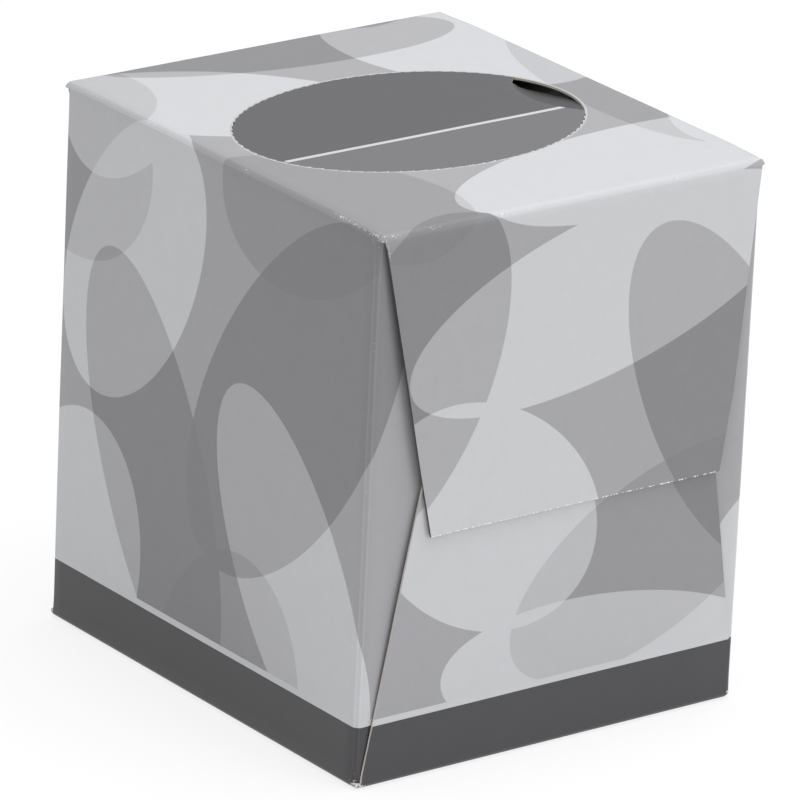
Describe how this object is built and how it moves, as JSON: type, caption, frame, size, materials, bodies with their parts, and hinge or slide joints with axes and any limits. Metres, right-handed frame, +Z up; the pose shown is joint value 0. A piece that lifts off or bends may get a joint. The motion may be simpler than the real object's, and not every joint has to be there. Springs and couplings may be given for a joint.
{
  "type": "tissue box",
  "caption": "Sealed cube tissue box of folded grey printed paperboard, with a perforated oval panel in the top, its thumb tab pressed in, and a clip of tissues inside.",
  "frame": {"origin": "middle of the base, on the surface that the box stands on", "axes": "+Z up, X across the glued closures, Y along the sleeve from the front closure at -Y to the back one"},
  "size_m": [0.1036, 0.118, 0.1265],
  "materials": {
    "carton_board": "grey printed outside with a low gloss, bare fibres at the cut edges",
    "tissue": "soft white creped",
    "film": "clear thin film",
    "glue": "dried carton glue"
  },
  "bodies": {
    "root": {"carton": "carton_board", "window_film": "film", "tissue_stack": "tissue", "film_glue": "glue", "seam_glue": "glue", "front_glue": "glue", "back_glue": "glue"}
  },
  "joints": []
}
